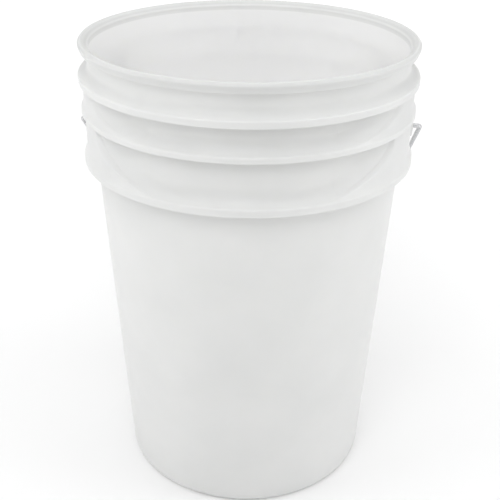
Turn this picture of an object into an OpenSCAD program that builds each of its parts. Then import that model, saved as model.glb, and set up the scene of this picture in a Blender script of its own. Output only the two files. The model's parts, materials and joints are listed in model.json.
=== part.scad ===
// Plastic fermenting bucket: a thin tapered pail with a rounded rim, three
// flared rings under it, two hollow ears and a wire bail with a spinning grip.
// Millimetres. +Z is up, the origin is the centre of the foot, and the bail
// turns about an axis along X.

/* [Bucket] */
// Height from the foot to the top of the rim
bucket_h = 445; // [425:1:465]
// Outside diameter of the rim bead
rim_d = 311.2; // [308:0.1:314]
// Outside diameter of the wall at the foot
foot_d = 249; // [240:1:262]
// Outside diameter of the wall where it meets the lowest ring
shoulder_d = 289.4; // [286:0.1:291]
// Outside diameter of the neck just under the rim
neck_d = 296.6; // [296:0.1:298]
// Thickness of the wall
wall = 2.3; // [2:0.1:2.6]
// Thickness of the floor
floor_t = 3; // [2.4:0.1:4]
// Height of the foot ring under the recessed floor
foot_h = 4; // [3:0.5:6]
// Outer radius of the corner between wall and foot
corner_r = 8; // [6:0.5:10]

/* [Rings] */
// Outside diameter of the top ring
ring1_d = 313.4; // [311:0.1:314.4]
// Outside diameter of the middle ring
ring2_d = 311.2; // [309:0.1:313]
// Outside diameter of the lowest ring
ring3_d = 311.4; // [309:0.1:313]
// Depth of the top ring's lower edge below the rim
ring1_drop = 36; // [34:0.5:38]
// Depth of the middle ring's lower edge below the rim
ring2_drop = 65.4; // [63:0.1:68]
// Depth of the lowest ring's lower edge below the rim
ring3_drop = 112; // [108:0.5:116]
// Thickness of the rings' flared shell
ring_t = 2.2; // [1.8:0.1:2.4]
// Number of gussets under the lowest ring
gussets = 24; // [12:2:36]

/* [Ears] */
// Height of the bail's pivot below the rim
pivot_drop = 83; // [80:0.5:86]
// Outside radius of the ear's plate, between the middle ring and the lowest one
ear_r = 152.6; // [152.2:0.1:153]
// Outside radius of the ear's pad, between the top ring and the middle one
pad_r = 153; // [152.6:0.1:153.6]
// Width of the ear across its top
ear_top_w = 168; // [150:1:180]
// Diameter of the boss around the pivot hole
boss_d = 20; // [16:0.5:22]
// Free space around the wire in the pivot hole
pivot_gap = 0.1; // [0.05:0.01:0.2]

/* [Bail] */
// Diameter of the bail's wire
wire_d = 4.2; // [3.8:0.1:4.4]
// Reach of the bail from its pivot to the grip
bail_reach = 190; // [188:1:200]
// Distance that the bail has slipped sideways in its ears
bail_slip = 1.4; // [0:0.1:1.4]
// Angle of the hanging bail behind the bucket, from straight down
bail_rest = 53; // [53:0.5:58]
// Bend radius of the bail's shoulders
shoulder_bend = 112; // [108:1:116]
// Bend radius of the elbows outside the ears
elbow_bend = 4.6; // [4.3:0.1:4.6]

/* [Grip] */
// Length of the grip
grip_l = 92; // [80:1:94]
// Diameter of the grip's end collars
grip_d = 22; // [18:0.5:23]
// Diameter of the grip's shaft between its collars
grip_shaft_d = 18.4; // [15:0.1:18.8]
// Number of raised bands round the grip's shaft
grip_bands = 7; // [3:1:9]

/* [Hidden] */
$fn = 96;

// Heights of the rings' lower edges and of the pivot
ring1_z = bucket_h - ring1_drop;
ring2_z = bucket_h - ring2_drop;
ring3_z = bucket_h - ring3_drop;
pivot_z = bucket_h - pivot_drop;

// Each ring: lower edge, outer radius, height of its lip, height of its flare
RINGS = [
    [ring1_z, ring1_d / 2, 6.2, 9],
    [ring2_z, ring2_d / 2, 5.4, 13],
    [ring3_z, ring3_d / 2, 6.8, 16],
];
flare_end = 66;
lip_proud = 0.5;
lip_edge = 0.5;
arc_steps = 12;

// The rim bead, from its underside to its crest
bead_h = 8.8;
bead_z = bucket_h - bead_h;
bead_edge = 1;
neck_fillet = 1.2;
crest_round = 2.5;
crest_slope = 1.4;
inner_edge = 2.1;
rim_r = rim_d / 2;
crest_r = rim_r - 2;
neck_z = bead_z - 2;

// The foot ring and the recessed floor inside it
foot_ring_r = foot_d / 2 - corner_r;
foot_ring_w = 5;
floor_z = foot_h + floor_t;
inner_corner = 10;
gate_d = 9;
gate_h = 0.6;

// The ear: a plate below the middle ring and a pad above it. The outline of each is
// [lowest, where it stops flaring, highest] height, flare in degrees, power of the flare
PLATE = [ring3_z + 6.8, ring2_z + 0.4, ring2_z + 5, 29, 1.72];
PAD = [ring2_z + 4, ring1_z - 4, ring1_z + 3, 12, 3];
ear_t = 2.2;
ear_a = asin(ear_top_w / 2 / ear_r);
outline_steps = 10;

// The hollow behind both, open towards the ground
pocket_inset = 8;
pocket_low = ring3_z - 1;
pocket_top = ring1_z - 4;
boss_proud = [0.2, 2.2];
boss_back = ear_r - ear_t - boss_proud[0];
boss_face = ear_r + boss_proud[1];
rib_y = 15;
rib_t = 1.8;
gusset_low = 2.5;
gusset_clear = 0.6;

// The wire's end, held behind the plate by its flattened head
wire_r = wire_d / 2;
arm_x = 161.4;
head_x = 147.45;
head_t = 1;
head_d = 7.6;
arm_l = bail_reach - shoulder_bend;
grip_half = arm_x - shoulder_bend;

// Outer radius of the plain wall at height z
function wall_r(z) =
    z < ring3_z
        ? foot_d / 2 + (shoulder_d - foot_d) / 2 * z / ring3_z
        : shoulder_d / 2 + (neck_d - shoulder_d) / 2 * (z - ring3_z) / (neck_z - ring3_z);

// Points of an arc about [x, y], counter-clockwise from angle a to angle b
function arc(x, y, r, a, b, n = arc_steps) =
    [for (i = [0:n]) let (t = a + (b - a) * i / n) [x + r * cos(t), y + r * sin(t)]];

// A ring's flare, from the wall at its top to its lip, moved in by d and down by half of d
function flare(ring, d) =
    let (
        z0 = ring[0] + ring[2],
        r0 = wall_r(z0 + ring[3]),
        reach = ring[1] - lip_proud - r0
    )
    [for (i = [0:arc_steps]) let (t = flare_end * i / arc_steps) [
        r0 + reach * (1 - cos(t)) / (1 - cos(flare_end)) - d,
        z0 + ring[3] * (1 - sin(t) / sin(flare_end)) - d / 2,
    ]];

// Turns a closed outline of [radius, height] points into a round body
module turned(outline) {
    rotate_extrude()
        polygon(outline);
}

// The tapered wall with its floor and foot ring
module shell() {
    slope = atan((shoulder_d - foot_d) / 2 / ring3_z);
    corner_x = wall_r(corner_r) - corner_r;
    inner_x = wall_r(floor_z + inner_corner) - wall - inner_corner;
    turned(concat(
        [[0, foot_h], [foot_ring_r - foot_ring_w, foot_h], [foot_ring_r - foot_ring_w, 0]],
        arc(corner_x, corner_r, corner_r, -90, -slope),
        [[wall_r(ring3_z), ring3_z], [wall_r(neck_z), neck_z], [wall_r(neck_z), bead_z + 4]],
        [[wall_r(neck_z) - wall, bead_z + 4]],
        [[wall_r(ring3_z) - wall, ring3_z]],
        arc(inner_x, floor_z + inner_corner, inner_corner, -slope, -90),
        [[0, floor_z]]
    ));
}

// The rounded rim bead with its slope down to the inside wall
module bead() {
    neck_r = neck_d / 2;
    turned(concat(
        [[neck_r - wall, bead_z - neck_fillet], [neck_r - 0.5, bead_z - neck_fillet]],
        arc(neck_r + neck_fillet, bead_z - neck_fillet, neck_fillet, 180, 90, 4),
        arc(rim_r - 1.6 * bead_edge, bead_z + bead_edge, bead_edge, -90, 0, 4),
        arc(crest_r - 0.5, bucket_h - crest_round, crest_round, 0, 110, 11),
        [[neck_r + 0.8, bucket_h - crest_slope]],
        arc(neck_r - wall + inner_edge, bucket_h - crest_slope - 2.4, inner_edge, 85, 180, 5)
    ));
}

// One flared ring: a concave flare that ends in a short lip, a little proud of it
module ring(r) {
    z0 = r[0] + r[2];
    top = z0 + r[3];
    under = flare(r, ring_t);
    turned(concat(
        [[wall_r(top) - 1, top]],
        flare(r, 0),
        arc(r[1] - lip_proud, z0 - lip_proud, lip_proud, 90, 0, 3),
        arc(r[1] - lip_edge, r[0] + lip_edge, lip_edge, 0, -90, 3),
        arc(r[1] - ring_t + lip_edge, r[0] + lip_edge, lip_edge, -90, -180, 3),
        [for (i = [arc_steps:-1:0]) under[i]],
        [[wall_r(top) - 1, top - ring_t]]
    ));
}

// Half the width of an ear at height z, where its flanks flare towards the foot
function ear_half(ear, z) =
    let (t = (ear[1] - min(max(z, ear[0]), ear[1])) / (ear[1] - ear[0]))
    ear_r * sin(ear_a + ear[3] * pow(t, ear[4]));

// Side outline of an ear in [y, z], from height low to height high, moved in by inset
function ear_outline(ear, low, high, inset = 0) =
    let (flank = concat(
        [[ear_half(ear, ear[0]) - inset, low]],
        [for (i = [0:outline_steps]) let (z = ear[0] + (ear[1] - ear[0]) * i / outline_steps)
            [ear_half(ear, z) - inset, z]],
        [[ear_half(ear, ear[1]) - inset, high]]
    ))
    concat(flank, [for (i = [len(flank) - 1:-1:0]) [-flank[i][0], flank[i][1]]]);

// Cuts a [y, z] outline out of a round body, on both sides of the bucket
module on_both_sides(outline) {
    intersection() {
        children();
        for (side = [-1, 1])
            translate([side * rim_r, 0, 0])
                rotate([90, 0, 90])
                    linear_extrude(rim_r, center = true)
                        polygon(outline);
    }
}

// A round band between two heights, from just under the wall's face out to radius r
module band(low, high, r, under = 1) {
    turned([[wall_r(low) - under, low], [r, low], [r, high], [wall_r(high) - under, high]]);
}

// The ears: a plate over the neck, and a pad that joins the two upper rings
module ear_blocks() {
    on_both_sides(ear_outline(PLATE, PLATE[0] - 1, PLATE[2]))
        band(PLATE[0] - 1, PLATE[2], ear_r);
    on_both_sides(ear_outline(PAD, PAD[0] - 0.5, PAD[2]))
        band(PAD[0] - 0.5, PAD[2], pad_r);
}

// The hollow behind an ear
module pocket() {
    on_both_sides(ear_outline(PLATE, pocket_low, pocket_top, pocket_inset))
        band(pocket_low, pocket_top, ear_r - ear_t, 0);
}

// A pivot boss on each side, as a flat disc along X
module bosses() {
    for (side = [0, 180])
        rotate([0, 0, side])
            translate([boss_back, 0, pivot_z])
                rotate([0, 90, 0])
                    cylinder(h = boss_face - boss_back, d = boss_d);
}

// The pivot hole through each ear's boss and plate, clear of the bucket's wall
module pivot_holes() {
    for (side = [0, 180])
        rotate([0, 0, side])
            translate([boss_back - 0.5, 0, pivot_z])
                rotate([0, 90, 0])
                    cylinder(h = boss_face - boss_back + 1, d = wire_d + 2 * pivot_gap);
}

// Ribs that tie each ear's plate to the wall, on both sides of its boss
module ear_ribs() {
    low = PLATE[0];
    high = PAD[2];
    mid = (low + high) / 2;
    intersection() {
        band(low, high, ear_r - 1);
        for (side = [-1, 1], y = [-rib_y, rib_y])
            translate([side * ear_r, y, mid])
                cube([30, rib_t, high - low], center = true);
    }
}

// Gussets under the lowest ring, between the wall and its lip, clear of the ears
module skirt_gussets() {
    r = RINGS[2];
    low = r[0] + gusset_low;
    top = r[0] + r[2] + r[3];
    under = flare(r, ring_t / 2);
    pitch = 360 / gussets;
    intersection() {
        turned(concat(
            [[wall_r(low) - 1, low], [r[1] - 1, low]],
            [for (i = [arc_steps:-1:0]) under[i]],
            [[wall_r(top) - 1, top - ring_t / 2]]
        ));
        for (i = [0:gussets - 1])
            if (abs(sin((i + 0.5) * pitch)) > gusset_clear)
                rotate([0, 0, (i + 0.5) * pitch])
                    translate([0, -rib_t / 2, low])
                        cube([rim_r, rib_t, top - low]);
    }
}

// The bucket is one moulding: the pail with its rim, rings and ears
module bucket() {
    color("whitesmoke")
        difference() {
            union() {
                difference() {
                    union() {
                        for (r = RINGS)
                            ring(r);
                        ear_blocks();
                    }
                    pocket();
                }
                shell();
                bead();
                ear_ribs();
                skirt_gussets();
                bosses();
                translate([0, 0, foot_h - gate_h])
                    cylinder(h = 2 * gate_h, d = gate_d);
            }
            pivot_holes();
        }
}

// Hangs what is drawn in the XZ plane, with the pivot axis on X, behind the bucket
module hung() {
    translate([bail_slip, 0, pivot_z])
        rotate([bail_rest, 0, 0])
            children();
}

// One half of the wire, from its head through the elbow and shoulder to the middle
module wire_half() {
    translate([head_x, 0, 0])
        rotate([0, 90, 0])
            cylinder(h = head_t, d = head_d);
    translate([head_x, 0, 0])
        rotate([0, 90, 0])
            cylinder(h = arm_x - elbow_bend - head_x, r = wire_r);
    translate([arm_x - elbow_bend, 0, -elbow_bend])
        rotate([90, 0, 0])
            rotate_extrude(angle = 90)
                translate([elbow_bend, 0])
                    circle(r = wire_r);
    translate([arm_x, 0, -arm_l])
        cylinder(h = arm_l - elbow_bend, r = wire_r);
    translate([grip_half, 0, -arm_l])
        rotate([90, 0, 0])
            rotate_extrude(angle = -90)
                translate([shoulder_bend, 0])
                    circle(r = wire_r);
    translate([-1, 0, -bail_reach])
        rotate([0, 90, 0])
            cylinder(h = grip_half + 1, r = wire_r);
}

module bail_wire() {
    color("dimgray")
        hung()
            union() {
                wire_half();
                mirror([1, 0, 0])
                    wire_half();
            }
}

// The grip: a turned shaft with raised bands, and a collar at each end
module grip() {
    collar_l = 7;
    shaft_l = grip_l - 2 * collar_l;
    pitch = shaft_l / (grip_bands + 1);
    band_w = 0.42 * pitch;
    band_d = (grip_d + grip_shaft_d) / 2;
    color("white")
        hung()
            translate([0, 0, -bail_reach])
                rotate([0, 90, 0])
                    difference() {
                        union() {
                            cylinder(h = grip_l - 2, d = grip_shaft_d, center = true);
                            for (end = [-1, 1])
                                translate([0, 0, end * (grip_l - collar_l) / 2])
                                    rounded_disc(collar_l, grip_d, 2);
                            for (i = [1:grip_bands])
                                translate([0, 0, i * pitch - shaft_l / 2])
                                    rounded_disc(band_w, band_d, 0.8);
                        }
                        cylinder(h = grip_l + 2, d = wire_d + 2 * pivot_gap, center = true);
                    }
}

// A disc of height h and diameter d, with its rims rounded to radius e
module rounded_disc(h, d, e) {
    translate([0, 0, -h / 2])
        turned(concat(
            [[0, 0]],
            arc(d / 2 - e, e, e, -90, 0, 5),
            arc(d / 2 - e, h - e, e, 0, 90, 5),
            [[0, h]]
        ));
}

bucket();
bail_wire();
grip();
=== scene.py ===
"""Looks for the plastic fermenting bucket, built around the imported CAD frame.

Shapes are worked out in millimetres, in the CAD model's own frame, and scaled to
metres when a mesh is made. An ear's angles are in degrees from its axis along X.
"""

import json
import math

import bmesh
import bpy
from mathutils import Matrix, Vector


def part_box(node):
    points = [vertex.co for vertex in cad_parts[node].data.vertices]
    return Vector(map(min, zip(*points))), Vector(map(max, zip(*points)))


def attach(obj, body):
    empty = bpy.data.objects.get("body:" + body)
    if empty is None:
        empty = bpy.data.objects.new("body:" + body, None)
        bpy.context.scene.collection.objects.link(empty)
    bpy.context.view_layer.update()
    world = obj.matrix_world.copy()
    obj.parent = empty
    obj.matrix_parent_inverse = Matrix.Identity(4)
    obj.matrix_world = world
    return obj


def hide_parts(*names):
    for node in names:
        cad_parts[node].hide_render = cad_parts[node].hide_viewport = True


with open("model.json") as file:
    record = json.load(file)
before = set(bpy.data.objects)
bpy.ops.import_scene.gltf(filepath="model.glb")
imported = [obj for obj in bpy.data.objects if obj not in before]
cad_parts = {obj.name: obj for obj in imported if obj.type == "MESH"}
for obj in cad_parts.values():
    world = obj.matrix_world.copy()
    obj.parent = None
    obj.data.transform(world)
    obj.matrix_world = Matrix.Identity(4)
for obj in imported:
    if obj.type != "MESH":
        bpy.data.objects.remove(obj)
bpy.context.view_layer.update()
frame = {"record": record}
MM = 0.001

# Camera, in metres and degrees, about the bucket's own axis
CAMERA_RADIUS = 0.8047
CAMERA_HEIGHT = 0.6383
CAMERA_AZIMUTH = 2.5
CAMERA_PITCH = 27.244
CAMERA_ROLL = 0.61
CAMERA_LENS = 63.54
CAMERA_SHIFT_X = 0.0056

# The studio's area lights: name, place, target and size in metres, and watts
LIGHTS = (
    ("box_left", (-1.5, -0.4, 0.75), (0, 0, 0.25), (0.9, 1.3), 5.2),
    ("box_right", (1.5, -0.25, 0.75), (0, 0, 0.25), (0.7, 1.3), 5.6),
    ("box_front", (-0.2, -1.7, 2.3), (0, 0, 0.35), (1.6, 1.2), 21.0),
    ("box_top", (0.0, 1.5, 3.6), (0, 1.5, 0), (7.0, 7.0), 138.0),
)
WORLD_STRENGTH = 0.4

# The floor: its side in metres, its grey, and its own light from near to far
FLOOR_SIZE = 16.0
FLOOR_GREY = 0.8
FLOOR_NEAR = (0.3, 0.1)
FLOOR_FAR = (2.5, 0.36)


def joint_place(name):
    """Where a joint stands at rest, in millimetres."""
    joints = frame["record"]["behaviour"]["joints"]
    joint = next(j for j in joints if j["name"] == name)
    return Vector(joint["pos_m"]) / MM


# The bucket, from its CAD box: heights are above the foot, radii from the axis
RIM_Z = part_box("bucket")[1][2] / MM
RING1_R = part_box("bucket")[1][0] / MM
RIM_R = RING1_R - 1.1
FOOT_R = RING1_R - 32.2
SHOULDER_R = RING1_R - 12.0
NECK_R = RING1_R - 8.4
WALL = 2.3
FOOT_H = 4.0
FOOT_RING_W = 5.0
FLOOR_Z = 7.0
GATE_R = 4.4
GATE_H = 0.6
DRAFT = 0.2
CORNER_R = 8.0
INNER_CORNER_R = 10.0
BEAD_H = 8.8

# The rim's bead, from its foot over its top: (in from RIM_R, down from RIM_Z, fillet)
BEAD = ((2.4, BEAD_H, 1.0), (0.0, 2.6, 1.6), (2.2, 0.0, 0.9), (3.4, 0.0, 1.2))

# Each ring: lower edge, outer radius, height of its lip, height of its flare
RING1 = (RIM_Z - 36.0, RING1_R, 6.2, 9.0)
RING2 = (RIM_Z - 65.4, RING1_R - 1.1, 5.4, 13.0)
RING3 = (RIM_Z - 112.0, RING1_R - 1.0, 6.8, 16.0)
RING_T = 2.2
RING_ROOT = 1.4
ROOT_CLEAR = 0.8
FLARE_END = 66.0
LIP_PROUD = 0.5
LIP_BEVEL = 0.9
NECK_Z = RIM_Z - BEAD_H - 2.0

# The ears' faces, and the hollow cut behind each
PLATE_R = RING1_R - 4.1
PAD_R = RING1_R - 3.7
PLATE_T = 2.2
EASE_H = 9.0
POCKET_LOW = RING3[0] - 1.0
POCKET_HIGH = RING1[0] - 4.0
POCKET_INSET = 8.0
POCKET_ROWS = 14
POCKET_ROW_H = 3.0
POCKET_COLUMNS = 40
WALL_CLEAR = 0.04

# The ribs and bosses of the ears, and the gussets under the lowest ring. Gussets stand
# only where the sine of their angle from the ears' axis is above EAR_CLEAR.
RIB_Y = 15.0
RIB_T = 1.8
RIB_ROOT = 2.0
RIB_BEHIND = 1.6
BOSS_R = 10.0
BOSS_PROUD = 2.2
BOSS_BACK = 0.2
BORE_LEAD = 0.5
GUSSETS = 24
GUSSET_LOW = 2.5
GUSSET_TOP = 20.5
GUSSET_ROOT = 1.0
EAR_CLEAR = 0.6

# The bail and its grip
PIVOT = joint_place("bail_swing")
GRIP_PLACE = joint_place("grip_spin")
BAIL_SLIP = GRIP_PLACE.x
BAIL_REACH = (GRIP_PLACE - PIVOT).yz.length
BAIL_REST = math.atan2(GRIP_PLACE.y - PIVOT.y, PIVOT.z - GRIP_PLACE.z)
WIRE_R = 2.1
BORE_R = WIRE_R + 0.1
ARM_X = 161.4
ELBOW_R = 4.6
SHOULDER_BEND = 112.0
GRIP_L = 92.0
COLLAR_L = 7.0
COLLAR_R = 11.0
SHAFT_R = 9.2
BAND_R = 10.1
BANDS = 7
BAND_SHARE = 0.42
GRIP_SEAM = 0.18
SEAM_FROM_R = 5.0
MOUTH = 0.8

# The upset head at the wire's end: (distance along it, radius), from its inner face
HEAD_X = 147.45
HEAD = (
    (0.0, 3.3), (0.2, 3.7), (0.4, 3.8), (0.7, 3.8), (0.9, 3.6), (1.0, 3.1),
    (1.1, 2.3), (1.4, WIRE_R), (4.5, WIRE_R),
)

# Longest steps between the bucket's rows, on its plain walls and across its gaps
WALL_STEP = 28.0
GAP_STEP = 1.5
FIRST_STEP = 0.8
NEAR = 0.01

# The bucket's columns over a quarter turn from an ear's axis: (start, end, how many)
COLUMN_SPANS = ((0, 31, 14), (31, 50, 42), (50, 72, 24), (72, 90, 9))


# ---------------------------------------------------------------- outlines

def wall_r(z):
    """Outer radius of the plain wall at height z."""
    if z < RING3[0]:
        return FOOT_R + (SHOULDER_R - FOOT_R) * z / RING3[0]
    return SHOULDER_R + (NECK_R - SHOULDER_R) * (z - RING3[0]) / (NECK_Z - RING3[0])


def arc(x, y, radius, start, end, steps):
    """Points of an arc about (x, y), from one angle in degrees to another."""
    turns = [math.radians(start + (end - start) * i / steps) for i in range(steps + 1)]
    return [(x + radius * math.cos(t), y + radius * math.sin(t)) for t in turns]


def filleted(corners, steps=3):
    """Rounds each (x, y, radius) corner of an open outline."""
    outline = [corners[0][:2]]
    for before, corner, after in zip(corners, corners[1:], corners[2:]):
        here = Vector(corner[:2])
        radius = corner[2]
        to_before = (Vector(before[:2]) - here).normalized()
        to_after = (Vector(after[:2]) - here).normalized()
        half = to_before.angle(to_after) / 2
        if radius == 0 or half > math.radians(88):
            outline.append(tuple(here))
            continue
        centre = here + (to_before + to_after).normalized() * radius / math.sin(half)
        start = here + to_before * radius / math.tan(half) - centre
        sweep = start.angle_signed(here + to_after * radius / math.tan(half) - centre)
        for i in range(steps + 1):
            turned = start.copy()
            turned.rotate(Matrix.Rotation(-sweep * i / steps, 2))
            outline.append(tuple(centre + turned))
    outline.append(corners[-1][:2])
    return outline


def densified(outline, step):
    """Splits an outline's long stretches, so that the mesh has rows to shape."""
    dense = [outline[0]]
    for a, b in zip(outline, outline[1:]):
        pieces = max(1, math.ceil(math.dist(a, b) / step))
        for i in range(1, pieces + 1):
            dense.append((a[0] + (b[0] - a[0]) * i / pieces, a[1] + (b[1] - a[1]) * i / pieces))
    return dense


def flare(ring, inset=0.0, steps=14):
    """A ring's hollow flare from the wall out to its lip, or its lower face."""
    foot_z, radius, lip_h, flare_h = ring
    top = foot_z + lip_h + flare_h
    reach = radius - LIP_PROUD - wall_r(top)
    whole = math.radians(FLARE_END)
    points = []
    for i in range(steps + 1):
        t = whole * i / steps
        out = reach * (1 - math.cos(t)) / (1 - math.cos(whole))
        points.append((
            wall_r(top) + out - inset,
            top - flare_h * math.sin(t) / math.sin(whole) - inset / 2,
        ))
    return points


def underside(ring):
    """A ring's lower face, from its root on the wall out to the inside of its lip."""
    points = [p for p in flare(ring, RING_T) if p[0] > wall_r(p[1]) + ROOT_CLEAR]
    root_z = points[0][1] + RING_ROOT
    lip_in = ring[1] - RING_T
    return (
        [(wall_r(root_z), root_z, 1.0)]
        + [(r, z, 0.0) for r, z in points]
        + [(lip_in, ring[0], 0.5)]
    )


def lip(ring):
    """A ring's outer face: from its lower edge up to the crease under the flare."""
    foot_z, radius, lip_h, _ = ring
    return [(radius, foot_z, 0.6), (radius, foot_z + lip_h - LIP_BEVEL, 0.8)]


def rising_flare(ring):
    """A ring's flare as corners, from its lip up to the wall."""
    return [(r, z, 0.0) for r, z in reversed(flare(ring))]


def open_gap(low_ring, high_ring):
    """The hollow between two rings: up the flare and neck, and out under the next."""
    corners = rising_flare(low_ring) + underside(high_ring) + [(high_ring[1], high_ring[0], 0)]
    return densified(filleted(corners)[:-1], GAP_STEP)


def bucket_outline():
    """The bucket's section as rows of (r, z), in parts, from the base round to the floor.

    A corner is (r, z, its fillet's radius).
    """
    foot_ring_r = FOOT_R - CORNER_R
    slope = math.degrees(math.atan((SHOULDER_R - FOOT_R) / RING3[0]))
    corner_x = wall_r(CORNER_R) - CORNER_R
    inner_x = wall_r(FLOOR_Z + INNER_CORNER_R) - WALL - INNER_CORNER_R
    gate_z = FOOT_H - GATE_H
    foot = filleted([
        (0, gate_z, 0), (GATE_R - DRAFT, gate_z, 0.3), (GATE_R + DRAFT, FOOT_H, 0.3),
        (foot_ring_r - FOOT_RING_W, FOOT_H, 1.2), (foot_ring_r - FOOT_RING_W + 3 * DRAFT, 0, 0.8),
        (corner_x, 0, 0),
    ])[:-1]
    corner = arc(corner_x, CORNER_R, CORNER_R, -90, -slope, 9)
    wall_and_lip = filleted([(*corner[-1], 0)] + underside(RING3) + lip(RING3)
                            + [(RING3[1] - LIP_PROUD, RING3[0] + RING3[2], 0)])
    wall_rows = densified(wall_and_lip[:2], WALL_STEP) + wall_and_lip[2:]
    middle_lip = filleted([(RING2[1] - 1, RING2[0], 0)] + lip(RING2)
                          + [(RING2[1] - LIP_PROUD, RING2[0] + RING2[2], 0)])
    bead_z = RIM_Z - BEAD_H
    top = filleted(
        [(RING1[1] - 1, RING1[0], 0)] + lip(RING1) + rising_flare(RING1)
        + [(wall_r(bead_z), bead_z, 1.2)]
        + [(RIM_R - inward, RIM_Z - down, fillet) for inward, down, fillet in BEAD]
        + [(NECK_R + 0.8, RIM_Z - 1.5, 2.0), (NECK_R - WALL, RIM_Z - 4.6, 2.0)]
        + [(wall_r(RING3[0]) - WALL, RING3[0], 60)]
        + [(inner_x + INNER_CORNER_R, FLOOR_Z + INNER_CORNER_R, 0)],
        steps=4,
    )
    inside = arc(inner_x, FLOOR_Z + INNER_CORNER_R, INNER_CORNER_R, -slope, -90, 8)
    floor = [(inner_x * k / 4, FLOOR_Z) for k in (3, 2, 1)] + [(0, FLOOR_Z)]
    return {
        "low": foot + corner[:-1] + wall_rows,
        "gap23": open_gap(RING3, RING2)[1:],
        "middle": middle_lip[1:],
        "gap12": open_gap(RING2, RING1)[1:],
        "high": densified(top[1:-1] + inside, WALL_STEP) + floor,
    }


# ---------------------------------------------------------------- the bucket

# An ear's face over a gap: its radius, the rings below and above it, the angle of its edge
# at the top and how much wider that is at the foot, the power of that flare, the width in
# degrees of the slope beside it, and how much of its height is a sharp step instead
PLATE = (PLATE_R, RING3, RING2, 31.5, 31.0, 2.6, 17.0, 0.42)
PAD = (PAD_R, RING2, RING1, 29.5, 24.0, 3.0, 21.0, 0.24)
STEP_W = 1.1


def ear_edge(ear, z):
    """Angle of an ear's edge at height z."""
    _, low_ring, high_ring, top_angle, spread, power = ear[:6]
    low = low_ring[0] + low_ring[2]
    high = high_ring[0]
    down = min(1.0, max(0.0, (high - z) / (high - low)))
    return top_angle + spread * down ** power


def ear_face(ear, fraction):
    """A point of the ear's face, a fraction of the way up, with a fillet at its foot."""
    radius, low_ring, high_ring = ear[:3]
    low = low_ring[0] + low_ring[2]
    z = low + (high_ring[0] - low) * fraction
    fillet = max(0.0, 1 - (z - low) / EASE_H) ** 2
    return radius + (low_ring[1] - LIP_PROUD - radius) * fillet, z


def shaped(ear, open_point, fraction, angle):
    """Where a row of a gap runs at an angle: on the ear, in the open, or on the flank."""
    face = ear_face(ear, fraction)
    edge = ear_edge(ear, face[1])
    slope_w, sharp = ear[6:]
    off = max(0.0, angle - edge)
    u = min(1.0, off / slope_w)
    on_ear = (1 - sharp) * (1 - u) ** 2 * (1 + 2 * u) + sharp * max(0.0, 1 - off / STEP_W)
    return tuple(o + (f - o) * on_ear for o, f in zip(open_point, face))


def fractions(outline):
    """How far along an outline each row is, as if one short step came before it."""
    lengths = [FIRST_STEP]
    for a, b in zip(outline, outline[1:]):
        lengths.append(lengths[-1] + math.dist(a, b))
    return [length / lengths[-1] for length in lengths]


# The mould's parting lines: degrees from an ear's axis, half their width, and their height
PARTING_ANGLE = 58.5
PARTING_W = 0.24
PARTING_H = 0.1


def quadrant_angles():
    """Column angles from an ear's axis, close together across its flanks."""
    angles = []
    for start, end, count in COLUMN_SPANS:
        angles += [start + (end - start) * i / count for i in range(count)]
    angles += [PARTING_ANGLE + PARTING_W * k / 2 for k in (-2, -1, 0, 1, 2)]
    return sorted(angles)


def column_angles():
    """Columns all round, as (angle about Z, angle from the nearest ear's axis)."""
    first = quadrant_angles()
    columns = [(a, a) for a in first] + [(90.0, 90.0)]
    columns += [(180 - a, a) for a in reversed(first)]
    return columns + [(a + 180, ear) for a, ear in columns[1:-1]]


def parting_ridge(angle):
    """The thin raised line where the mould's sections met."""
    off = abs(angle - PARTING_ANGLE) / PARTING_W
    return PARTING_H * max(0.0, 1 - off)


def column(outline, angle):
    """The bucket's section at one angle from an ear, from the base round to the floor."""
    rows = list(outline["low"])
    for gap, ear, after in (("gap23", PLATE, "middle"), ("gap12", PAD, "high")):
        points = outline[gap]
        rows += [shaped(ear, p, f, angle) for p, f in zip(points, fractions(points))]
        rows += outline[after]
    ridge = parting_ridge(angle)
    if ridge == 0:
        return rows
    lip_row = next(i for i, (r, _) in enumerate(rows) if r > RING3[1] - NEAR)
    crest = max(range(len(rows)), key=lambda i: rows[i][1])
    return [
        (r + ridge, z) if lip_row <= i < crest else (r, z) for i, (r, z) in enumerate(rows)
    ]


def turned_mesh(name, columns):
    """A closed mesh from columns of [(r, z), ...] at angles; both ends lie on the axis."""
    bm = bmesh.new()
    first = bm.verts.new((0, 0, columns[0][1][0][1] * MM))
    last = bm.verts.new((0, 0, columns[0][1][-1][1] * MM))
    grid = []
    for angle, rows in columns:
        c, s = math.cos(math.radians(angle)), math.sin(math.radians(angle))
        grid.append([bm.verts.new((r * c * MM, r * s * MM, z * MM)) for r, z in rows[1:-1]])
    for here, there in zip(grid, grid[1:] + grid[:1]):
        bm.faces.new((first, there[0], here[0]))
        bm.faces.new((last, here[-1], there[-1]))
        for i in range(len(here) - 1):
            bm.faces.new((here[i], there[i], there[i + 1], here[i + 1]))
    bmesh.ops.recalc_face_normals(bm, faces=bm.faces)
    return finished(name, bm)


def finished(name, bm):
    """Turns a bmesh into an object in the scene."""
    mesh = bpy.data.meshes.new(name)
    bm.to_mesh(mesh)
    bm.free()
    piece = bpy.data.objects.new(name, mesh)
    bpy.context.scene.collection.objects.link(piece)
    return piece


def prism(bm, outline, thickness, matrix):
    """A flat closed solid: an outline in XZ, given its thickness along Y."""
    sides = []
    for y in (-thickness / 2, thickness / 2):
        sides.append([bm.verts.new(matrix @ Vector((x, y, z)) * MM) for x, z in outline])
    bm.faces.new(sides[0])
    bm.faces.new(list(reversed(sides[1])))
    count = len(outline)
    for i in range(count):
        j = (i + 1) % count
        bm.faces.new((sides[0][i], sides[1][i], sides[1][j], sides[0][j]))


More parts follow.
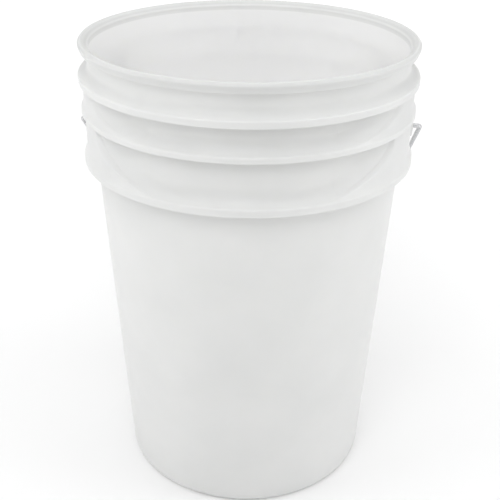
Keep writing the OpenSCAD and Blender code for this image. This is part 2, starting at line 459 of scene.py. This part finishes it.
def spun(bm, outline, matrix, segments=64):
    """A closed solid of revolution about Z; its outline starts and ends on the axis."""
    rings = []
    for r, z in outline[1:-1]:
        rings.append([
            bm.verts.new(matrix @ Vector((r * math.cos(t), r * math.sin(t), z)) * MM)
            for t in (2 * math.pi * k / segments for k in range(segments))
        ])
    ends = [bm.verts.new(matrix @ Vector((0, 0, outline[i][1])) * MM) for i in (0, -1)]
    for k in range(segments):
        n = (k + 1) % segments
        bm.faces.new((ends[0], rings[0][n], rings[0][k]))
        bm.faces.new((ends[1], rings[-1][k], rings[-1][n]))
        for low, high in zip(rings, rings[1:]):
            bm.faces.new((low[k], low[n], high[n], high[k]))


def pocket_cutter():
    """The space behind both ears, open at the foot: a thick curved slab on each side."""
    bm = bmesh.new()
    plate_low = RING3[0] + RING3[2]
    middle = [plate_low + i * POCKET_ROW_H for i in range(POCKET_ROWS)]
    heights = [POCKET_LOW] + middle + [POCKET_HIGH]
    steps = POCKET_COLUMNS
    for side in (0.0, math.pi):
        sheets = {}
        for layer in ("in", "out"):
            for row, z in enumerate(heights):
                edge = math.radians(ear_edge(PLATE, z))
                half = math.asin(math.sin(edge) - POCKET_INSET / PLATE_R)
                radius = wall_r(z) + WALL_CLEAR if layer == "in" else PLATE_R - PLATE_T
                for k in range(steps + 1):
                    t = side + half * (2 * k / steps - 1)
                    place = Vector((radius * math.cos(t), radius * math.sin(t), z)) * MM
                    sheets[layer, row, k] = bm.verts.new(place)
        rows = len(heights)
        for row in range(rows - 1):
            for k in range(steps):
                for layer in ("in", "out"):
                    bm.faces.new((
                        sheets[layer, row, k], sheets[layer, row, k + 1],
                        sheets[layer, row + 1, k + 1], sheets[layer, row + 1, k],
                    ))
            for k in (0, steps):
                bm.faces.new((
                    sheets["in", row, k], sheets["out", row, k],
                    sheets["out", row + 1, k], sheets["in", row + 1, k],
                ))
        for row in (0, rows - 1):
            for k in range(steps):
                bm.faces.new((
                    sheets["in", row, k], sheets["in", row, k + 1],
                    sheets["out", row, k + 1], sheets["out", row, k],
                ))
    bmesh.ops.recalc_face_normals(bm, faces=bm.faces)
    return finished("pocket_cutter", bm)


def sideways(side, x):
    """Turns a solid drawn about Z to lie along X at a pivot, facing out."""
    return (
        Matrix.Rotation(math.pi * side, 4, "Z")
        @ Matrix.Translation((x, 0, PIVOT.z))
        @ Matrix.Rotation(math.pi / 2, 4, "Y")
    )


def make_bosses():
    """A round boss about the pivot on each ear."""
    bm = bmesh.new()
    back = PLATE_R - PLATE_T - BOSS_BACK
    depth = PLATE_R + BOSS_PROUD - back
    boss = filleted([(0, 0, 0), (BOSS_R, 0, 0.1), (BOSS_R, depth, 0.9), (0, depth, 0)])
    for side in (0, 1):
        spun(bm, boss, sideways(side, back))
    return finished("bosses", bm)


def make_ribs():
    """What stiffens the moulding: ribs behind the ears, and gussets under the skirt."""
    rib_low = RING3[0] + RING3[2]
    rib_high = RING1[0] - RIB_ROOT
    rib_r = PLATE_R - RIB_BEHIND
    rib = [
        (wall_r(rib_low) - RIB_ROOT, rib_low), (rib_r, rib_low),
        (rib_r, rib_high), (wall_r(rib_high) - RIB_ROOT, rib_high),
    ]
    bm = bmesh.new()
    for side in (0, 1):
        for y in (-RIB_Y, RIB_Y):
            place = Matrix.Rotation(math.pi * side, 4, "Z") @ Matrix.Translation((0, y, 0))
            prism(bm, rib, RIB_T, place)
    under = flare(RING3, RING_T / 2)
    low = RING3[0] + GUSSET_LOW
    gusset = (
        [(wall_r(low) - GUSSET_ROOT, low), (RING3[1] - GUSSET_ROOT, low)]
        + under[::-1]
        + [(wall_r(RING3[0] + GUSSET_TOP) - GUSSET_ROOT, under[0][1])]
    )
    pitch = 360 / GUSSETS
    for i in range(GUSSETS):
        angle = math.radians((i + 0.5) * pitch)
        if abs(math.sin(angle)) > EAR_CLEAR:
            prism(bm, gusset, RIB_T, Matrix.Rotation(angle, 4, "Z"))
    bmesh.ops.recalc_face_normals(bm, faces=bm.faces)
    return finished("ribs", bm)


def hole_cutter():
    """The pivot holes, each with a small lead-in on its outer face."""
    bm = bmesh.new()
    back = PLATE_R - PLATE_T - BOSS_BACK - BORE_LEAD
    face = PLATE_R + BOSS_PROUD - back
    past = face + 0.1
    outline = [
        (0, 0), (BORE_R, 0), (BORE_R, past - BORE_LEAD), (BORE_R + BORE_LEAD, past), (0, past),
    ]
    for side in (0, 1):
        spun(bm, outline, sideways(side, back), 48)
    bmesh.ops.recalc_face_normals(bm, faces=bm.faces)
    return finished("hole_cutter", bm)


def combine(piece, operation, other):
    """Joins or cuts a piece with another closed one, which is then removed."""
    change = piece.modifiers.new("change", "BOOLEAN")
    change.operation = operation
    change.solver = "MANIFOLD"
    change.object = other
    now = piece.evaluated_get(bpy.context.evaluated_depsgraph_get())
    mesh = bpy.data.meshes.new_from_object(now)
    old = piece.data
    piece.modifiers.clear()
    piece.data = mesh
    mesh.name = piece.name
    bpy.data.meshes.remove(old)
    bpy.data.objects.remove(other)


def cleaned(piece):
    """Removes what the joins and cuts leave: tiny edges, and twin faces with no body."""
    bm = bmesh.new()
    bm.from_mesh(piece.data)
    bmesh.ops.dissolve_degenerate(bm, edges=bm.edges, dist=0.001 * MM)
    twins = {}
    for face in bm.faces:
        twins.setdefault(frozenset(face.verts), []).append(face)
    doubled = [face for faces in twins.values() if len(faces) > 1 for face in faces]
    bmesh.ops.delete(bm, geom=doubled, context="FACES")
    loose = [vert for vert in bm.verts if not vert.link_faces]
    bmesh.ops.delete(bm, geom=loose, context="VERTS")
    bm.to_mesh(piece.data)
    bm.free()


def smooth(piece, angle=32.0):
    """Shades a piece smooth, with its sharp corners kept."""
    mesh = piece.data
    mesh.shade_smooth()
    mesh.set_sharp_from_angle(angle=math.radians(angle))


def make_bucket():
    """The bucket's moulding, with its hollow ears, bosses, ribs and pivot holes."""
    outline = bucket_outline()
    columns = [(angle, column(outline, ear)) for angle, ear in column_angles()]
    bucket = turned_mesh("bucket_moulding", columns)
    combine(bucket, "DIFFERENCE", pocket_cutter())
    combine(bucket, "UNION", make_bosses())
    combine(bucket, "UNION", make_ribs())
    combine(bucket, "DIFFERENCE", hole_cutter())
    cleaned(bucket)
    smooth(bucket)
    return bucket


# ---------------------------------------------------------------- bail and grip

def bail_route():
    """The wire's middle line as (point, radius) pairs, from head to head, hanging down."""
    half = [(Vector((HEAD_X + x, 0, 0)), r) for x, r in HEAD]
    elbow_x = ARM_X - ELBOW_R
    for x, z in arc(elbow_x, -ELBOW_R, ELBOW_R, 90, 0, 12):
        half.append((Vector((x, 0, z)), WIRE_R))
    arm_z = SHOULDER_BEND - BAIL_REACH
    steps = 5
    for i in range(1, steps):
        half.append((Vector((ARM_X, 0, -ELBOW_R + (arm_z + ELBOW_R) * i / steps)), WIRE_R))
    for x, z in arc(ARM_X - SHOULDER_BEND, arm_z, SHOULDER_BEND, 0, -90, 48):
        half.append((Vector((x, 0, z)), WIRE_R))
    flat = ARM_X - SHOULDER_BEND
    half += [(Vector((flat * k / 4, 0, -BAIL_REACH)), WIRE_R) for k in (3, 2, 1)]
    mirrored = [(Vector((-p.x, 0, p.z)), r) for p, r in reversed(half)]
    return half + [(Vector((0, 0, -BAIL_REACH)), WIRE_R)] + mirrored


def hung():
    """From the hanging bail's own frame to its place behind the bucket."""
    return Matrix.Translation((BAIL_SLIP, 0, PIVOT.z)) @ Matrix.Rotation(BAIL_REST, 4, "X")


def make_bail(sides=24):
    """The bent wire with an upset head at each end, swept in one plane."""
    route = bail_route()
    bm = bmesh.new()
    place = hung()
    rings = []
    for i, (point, radius) in enumerate(route):
        before = route[max(0, i - 1)][0]
        after = route[min(len(route) - 1, i + 1)][0]
        along = (after - before).normalized()
        across = Vector((0, 1, 0))
        up = along.cross(across)
        ring = []
        for k in range(sides):
            t = 2 * math.pi * k / sides
            off = across * (radius * math.cos(t)) + up * (radius * math.sin(t))
            ring.append(bm.verts.new(place @ (point + off) * MM))
        rings.append(ring)
    for low, high in zip(rings, rings[1:]):
        for k in range(sides):
            n = (k + 1) % sides
            bm.faces.new((low[k], low[n], high[n], high[k]))
    for ring, end in ((rings[0], route[0][0]), (rings[-1], route[-1][0])):
        middle = bm.verts.new(place @ end * MM)
        for k in range(sides):
            bm.faces.new((middle, ring[k], ring[(k + 1) % sides]))
    bmesh.ops.recalc_face_normals(bm, faces=bm.faces)
    bail = finished("bail_bent_wire", bm)
    smooth(bail, 40)
    return bail


def grip_outline():
    """Half the grip's section: its bore, its end collars and the bands between them."""
    half = GRIP_L / 2
    shaft = GRIP_L - 2 * COLLAR_L
    pitch = shaft / (BANDS + 1)
    foot = pitch * BAND_SHARE / 2
    crown = foot - DRAFT
    mouth_r = BORE_R + MOUTH
    corners = [
        (-half, mouth_r, 0.0), (-half, COLLAR_R, 2.0),
        (COLLAR_L - half, COLLAR_R, 1.6), (COLLAR_L - half, SHAFT_R, 0.9),
    ]
    for i in range(1, BANDS + 1):
        centre = i * pitch - shaft / 2
        corners += [
            (centre - foot, SHAFT_R, 0.5), (centre - crown, BAND_R, 0.6),
            (centre + crown, BAND_R, 0.6), (centre + foot, SHAFT_R, 0.5),
        ]
    corners += [
        (half - COLLAR_L, SHAFT_R, 0.9), (half - COLLAR_L, COLLAR_R, 1.6),
        (half, COLLAR_R, 2.0), (half, mouth_r, 0.3),
        (half - MOUTH, BORE_R, 0.0), (MOUTH - half, BORE_R, 0.0),
    ]
    return filleted(corners)


def make_grip(segments=96):
    """The grip, turned about the wire, with a fine seam along each side."""
    outline = grip_outline()
    place = hung() @ Matrix.Translation((0, 0, -BAIL_REACH))
    bm = bmesh.new()
    rings = []
    for k in range(segments):
        t = 2 * math.pi * k / segments
        seam = GRIP_SEAM if k % (segments // 2) == 0 else 0.0
        ring = []
        for x, r in outline:
            out = r + seam if r > SEAM_FROM_R else r
            point = Vector((x, out * math.cos(t), out * math.sin(t)))
            ring.append(bm.verts.new(place @ point * MM))
        rings.append(ring)
    count = len(outline)
    for here, there in zip(rings, rings[1:] + rings[:1]):
        for i in range(count):
            j = (i + 1) % count
            bm.faces.new((here[i], there[i], there[j], here[j]))
    bmesh.ops.recalc_face_normals(bm, faces=bm.faces)
    grip = finished("grip_turned", bm)
    smooth(grip, 40)
    return grip


# ---------------------------------------------------------------- materials

OUTER_DARK = (0.71, 0.715, 0.71)
OUTER_LIGHT = (0.745, 0.748, 0.742)
# Painted light: the inside's colour below is whiter than the outside's, standing in for light
# falling into the bucket
INNER_PAINTED_LIGHT = (0.94, 0.94, 0.935)
# Painted shade: the rim's colour below is darker, standing in for shade on the bead
RIM_PAINTED_SHADE = (0.64, 0.645, 0.64)
GRIP_DARK = (0.8, 0.8, 0.79)
GRIP_LIGHT = (0.85, 0.85, 0.84)
ZINC_DARK = (0.52, 0.525, 0.535)
ZINC_LIGHT = (0.74, 0.745, 0.755)

# Scuffs: a hairline's half width in its noise, and the scale and edges of their patches
SCUFF_W = 0.012
SCUFF_PATCH_SCALE = 9.0
SCUFF_PATCH_EDGES = (0.52, 0.66)

# How softly the inside's painted-light colour meets the outside's, in metres
INSIDE_BLEND = 0.0003


def new_material(name):
    """A new material, its node tree and its main shader."""
    material = bpy.data.materials.new(name)
    material.use_nodes = True
    tree = material.node_tree
    return material, tree, tree.nodes["Principled BSDF"]


def noise(tree, scale, detail=3.0, stretch=(1, 1, 1)):
    """Noise in the object's own metres, optionally stretched along an axis."""
    place = tree.nodes.new("ShaderNodeTexCoord")
    mapping = tree.nodes.new("ShaderNodeMapping")
    mapping.inputs["Scale"].default_value = stretch
    texture = tree.nodes.new("ShaderNodeTexNoise")
    texture.inputs["Scale"].default_value = scale
    texture.inputs["Detail"].default_value = detail
    tree.links.new(place.outputs["Object"], mapping.inputs["Vector"])
    tree.links.new(mapping.outputs["Vector"], texture.inputs["Vector"])
    return texture.outputs["Fac"]


def remap(tree, value, from_low, from_high, to_low, to_high):
    """Maps a value from one range to another, and holds it there."""
    node = tree.nodes.new("ShaderNodeMapRange")
    node.inputs["From Min"].default_value = from_low
    node.inputs["From Max"].default_value = from_high
    node.inputs["To Min"].default_value = to_low
    node.inputs["To Max"].default_value = to_high
    tree.links.new(value, node.inputs["Value"])
    return node.outputs["Result"]


def maths(tree, operation, a, b):
    """One step of arithmetic on numbers or sockets."""
    node = tree.nodes.new("ShaderNodeMath")
    node.operation = operation
    for socket, value in zip(node.inputs, (a, b)):
        if isinstance(value, (int, float)):
            socket.default_value = value
        else:
            tree.links.new(value, socket)
    return node.outputs["Value"]


def mixed(tree, factor, low, high):
    """Mixes a colour, or one from a node, towards another by a factor."""
    node = tree.nodes.new("ShaderNodeMix")
    node.data_type = "RGBA"
    if isinstance(low, tuple):
        node.inputs["A"].default_value = (*low, 1.0)
    else:
        tree.links.new(low, node.inputs["A"])
    node.inputs["B"].default_value = (*high, 1.0)
    tree.links.new(factor, node.inputs["Factor"])
    return node.outputs["Result"]


def place_axes(tree):
    """The shaded point's place in the object, as X, Y and Z in metres."""
    place = tree.nodes.new("ShaderNodeTexCoord")
    parts = tree.nodes.new("ShaderNodeSeparateXYZ")
    tree.links.new(place.outputs["Object"], parts.inputs["Vector"])
    return [parts.outputs[axis] for axis in "XYZ"]


def bumped(tree, shader, layers):
    """Stacks bump layers of (height, strength, distance in metres)."""
    normal = None
    for height, strength, distance in layers:
        bump = tree.nodes.new("ShaderNodeBump")
        bump.inputs["Strength"].default_value = strength
        bump.inputs["Distance"].default_value = distance
        tree.links.new(height, bump.inputs["Height"])
        if normal is not None:
            tree.links.new(normal, bump.inputs["Normal"])
        normal = bump.outputs["Normal"]
    tree.links.new(normal, shader.inputs["Normal"])


def scratches(tree, scale, stretch, amount):
    """Sparse hairline scuffs: the thin crest of a strongly stretched noise."""
    fine = noise(tree, scale, 1.0, stretch)
    near_crest = maths(tree, "ABSOLUTE", maths(tree, "SUBTRACT", fine, 0.5), 0.0)
    line = remap(tree, near_crest, 0.0, SCUFF_W, 1.0, 0.0)
    patches = remap(tree, noise(tree, SCUFF_PATCH_SCALE, 2.0), *SCUFF_PATCH_EDGES, 0.0, amount)
    return maths(tree, "MULTIPLY", line, patches)


def inside_mask(tree):
    """1 on the bucket's inner face and floor, 0 on its outer faces."""
    x, y, z = place_axes(tree)
    radius = maths(tree, "SQRT", maths(tree, "ADD", square(tree, x), square(tree, y)), 0.0)
    low_slope = (SHOULDER_R - FOOT_R) / RING3[0]
    neck_slope = (NECK_R - SHOULDER_R) / (NECK_Z - RING3[0])
    neck_start = SHOULDER_R - neck_slope * RING3[0]
    low = maths(tree, "ADD", maths(tree, "MULTIPLY", z, low_slope), (FOOT_R - WALL / 2) * MM)
    neck = maths(tree, "ADD", maths(tree, "MULTIPLY", z, neck_slope), (neck_start - WALL / 2) * MM)
    depth = maths(tree, "SUBTRACT", maths(tree, "MINIMUM", low, neck), radius)
    within = remap(tree, depth, -INSIDE_BLEND, INSIDE_BLEND, 0.0, 1.0)
    above = remap(tree, z, FOOT_H * MM, FLOOR_Z * MM, 0.0, 1.0)
    return maths(tree, "MULTIPLY", within, above)


def square(tree, value):
    """A value times itself."""
    return maths(tree, "MULTIPLY", value, value)


def moulded_plastic(name, dark, light, roughness, subsurface, grain):
    """White polyethylene: milky, satin, faintly mottled, lightly scuffed."""
    material, tree, shader = new_material(name)
    mottle = remap(tree, noise(tree, 14.0, 4.0), 0.3, 0.7, 0.0, 1.0)
    tree.links.new(mixed(tree, mottle, dark, light), shader.inputs["Base Color"])
    scuffs = scratches(tree, 55.0, (1.0, 1.0, 0.06), 0.5)
    cloudy = remap(tree, noise(tree, 60.0, 3.0), 0.3, 0.7, roughness - 0.04, roughness + 0.05)
    rough = maths(tree, "ADD", cloudy, maths(tree, "MULTIPLY", scuffs, 0.18))
    tree.links.new(rough, shader.inputs["Roughness"])
    shader.inputs["Subsurface Weight"].default_value = subsurface
    shader.inputs["Subsurface Radius"].default_value = (1.0, 1.0, 0.95)
    shader.inputs["Subsurface Scale"].default_value = 0.004
    shader.inputs["IOR"].default_value = 1.5
    shader.inputs["Specular IOR Level"].default_value = 0.3
    bumped(tree, shader, (
        (noise(tree, 26.0, 2.0), 0.25, 0.0006),
        (noise(tree, grain, 3.0), 0.12, 0.00012),
        (scuffs, -0.25, 0.00008),
    ))
    return material


def bucket_plastic():
    """The bucket's plastic: whiter inside with painted light, duller outside, and darkest on its
    rim with painted shade.
    """
    material = moulded_plastic("hdpe_white", OUTER_DARK, OUTER_LIGHT, 0.4, 0.7, 900.0)
    tree = material.node_tree
    shader = tree.nodes["Principled BSDF"]
    outer = shader.inputs["Base Color"].links[0].from_socket
    # Painted light: the inner face and floor take the whiter colour
    both = mixed(tree, inside_mask(tree), outer, INNER_PAINTED_LIGHT)
    z = place_axes(tree)[2]
    rim_low = (RIM_Z - BEAD_H) * MM
    # Painted shade: the rim's bead grows darker from its foot up to its crest
    bead_shade_ramp = remap(tree, z, rim_low, RIM_Z * MM, 0.3, 1.0)
    rim = maths(tree, "MULTIPLY", bead_shade_ramp, maths(tree, "GREATER_THAN", z, rim_low))
    tree.links.new(mixed(tree, rim, both, RIM_PAINTED_SHADE), shader.inputs["Base Color"])
    return material


def zinc_wire(name):
    """Dull galvanised wire: blotchy spangle over a satin grey metal."""
    material, tree, shader = new_material(name)
    spangle = remap(tree, noise(tree, 700.0, 2.0), 0.35, 0.65, 0.0, 1.0)
    tree.links.new(mixed(tree, spangle, ZINC_DARK, ZINC_LIGHT), shader.inputs["Base Color"])
    shader.inputs["Metallic"].default_value = 0.9
    rough = remap(tree, noise(tree, 260.0, 4.0), 0.3, 0.7, 0.42, 0.6)
    tree.links.new(rough, shader.inputs["Roughness"])
    bumped(tree, shader, (
        (noise(tree, 1500.0, 3.0), 0.2, 0.00005),
        (noise(tree, 260.0, 2.0), 0.2, 0.0001),
    ))
    return material


# ---------------------------------------------------------------- camera, light, floor

def place_camera():
    """The photograph's view: from the front and above, looking down into the mouth."""
    turn = math.radians(CAMERA_AZIMUTH)
    data = bpy.data.cameras.new("camera")
    data.lens = CAMERA_LENS
    data.sensor_width = 36.0
    data.shift_x = CAMERA_SHIFT_X
    camera = bpy.data.objects.new("camera", data)
    bpy.context.scene.collection.objects.link(camera)
    place = Vector(
        (CAMERA_RADIUS * math.sin(turn), -CAMERA_RADIUS * math.cos(turn), CAMERA_HEIGHT)
    )
    aim = (
        Matrix.Rotation(turn, 4, "Z")
        @ Matrix.Rotation(math.radians(90.0 - CAMERA_PITCH), 4, "X")
        @ Matrix.Rotation(math.radians(CAMERA_ROLL), 4, "Z")
    )
    camera.matrix_world = Matrix.Translation(place) @ aim
    bpy.context.scene.camera = camera


def area_light(name, place, target, size, power):
    """A soft rectangular studio light that faces a point."""
    data = bpy.data.lights.new(name, "AREA")
    data.shape = "RECTANGLE"
    data.size, data.size_y = size
    data.energy = power
    light = bpy.data.objects.new(name, data)
    bpy.context.scene.collection.objects.link(light)
    place = Vector(place)
    direction = Vector(target) - place
    turn = direction.to_track_quat("-Z", "Y").to_matrix().to_4x4()
    light.matrix_world = Matrix.Translation(place) @ turn


def light_studio():
    """Two tall side boxes, one above the camera, a broad one overhead, and a white room."""
    for light in LIGHTS:
        area_light(*light)
    world = bpy.data.worlds.new("studio")
    world.use_nodes = True
    background = world.node_tree.nodes["Background"]
    background.inputs["Color"].default_value = (1.0, 1.0, 1.0, 1.0)
    background.inputs["Strength"].default_value = WORLD_STRENGTH
    bpy.context.scene.world = world
    bpy.context.scene.view_settings.view_transform = "Standard"


def add_floor():
    """A plain pale floor at the height of the foot, lit a little from within far off."""
    bpy.ops.mesh.primitive_plane_add(size=FLOOR_SIZE, location=(0, 0, 0))
    floor = bpy.context.object
    floor.name = "floor"
    material, tree, shader = new_material("floor_pale")
    shader.inputs["Base Color"].default_value = (FLOOR_GREY, FLOOR_GREY, FLOOR_GREY, 1.0)
    shader.inputs["Roughness"].default_value = 0.9
    shader.inputs["Specular IOR Level"].default_value = 0.1
    shader.inputs["Emission Color"].default_value = (1.0, 1.0, 1.0, 1.0)
    place = tree.nodes.new("ShaderNodeTexCoord")
    length = tree.nodes.new("ShaderNodeVectorMath")
    length.operation = "LENGTH"
    tree.links.new(place.outputs["Object"], length.inputs[0])
    near, far = FLOOR_NEAR, FLOOR_FAR
    glow = remap(tree, length.outputs["Value"], near[0], far[0], near[1], far[1])
    tree.links.new(glow, shader.inputs["Emission Strength"])
    floor.data.materials.append(material)


# ---------------------------------------------------------------- the whole model

def add_piece(piece, body, node, material):
    """Dresses a piece and lets it stand for its CAD node."""
    piece.data.materials.clear()
    piece.data.materials.append(material)
    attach(piece, body)
    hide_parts(node)


place_camera()
light_studio()
add_floor()
grip_white = moulded_plastic("grip_white", GRIP_DARK, GRIP_LIGHT, 0.36, 0.5, 1400.0)
add_piece(make_bucket(), "bucket", "bucket", bucket_plastic())
add_piece(make_bail(), "bail", "bail_wire", zinc_wire("zinc_wire"))
add_piece(make_grip(), "grip", "grip", grip_white)
